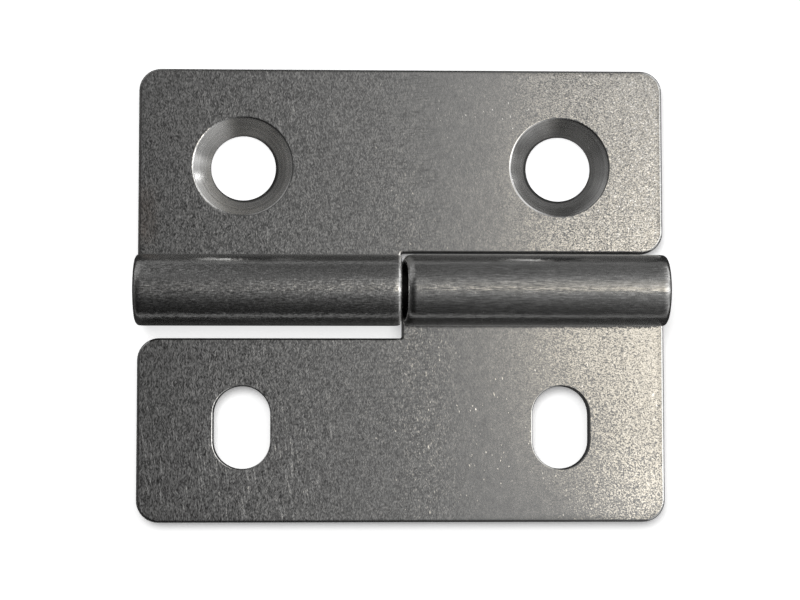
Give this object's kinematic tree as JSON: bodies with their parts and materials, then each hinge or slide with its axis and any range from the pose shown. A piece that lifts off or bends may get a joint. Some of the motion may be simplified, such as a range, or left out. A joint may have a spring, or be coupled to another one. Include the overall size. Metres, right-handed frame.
{
  "type": "cooler lid hinge",
  "caption": "Flat lift-off hinge for a cooler lid: a lid leaf with countersunk holes and a box leaf with slots, each rolled into a knuckle that turns on a common pin.",
  "frame": {"origin": "on the plane of the back faces, below the middle of the pin's axis, which is the middle of the open hinge's footprint to within half a millimetre", "axes": "+X along the pin, +Y from the box leaf to the lid leaf, +Z out of the mounting surface on the knuckles' side"},
  "size_m": [0.06, 0.0517, 0.0081],
  "materials": {
    "leaf_steel": "grained stainless sheet with fine scratches and a satin sheen",
    "pin_steel": "smooth drawn stainless rod"
  },
  "bodies": {
    "box_leaf": {"box_leaf": "leaf_steel"},
    "hinge_pin": {"hinge_pin": "pin_steel"},
    "lid_leaf": {"lid_leaf": "leaf_steel"}
  },
  "joints": [
    {"name": "fold", "type": "hinge", "parent": "box_leaf", "child": "hinge_pin", "pos_m": [0, 0, 0.00405], "axis": [1, 0, 0], "range_deg": [-95, 185]},
    {"name": "lift_off", "type": "slide", "parent": "hinge_pin", "child": "lid_leaf", "axis": [-1, 0, 0], "range_m": [0, 0.032]}
  ]
}
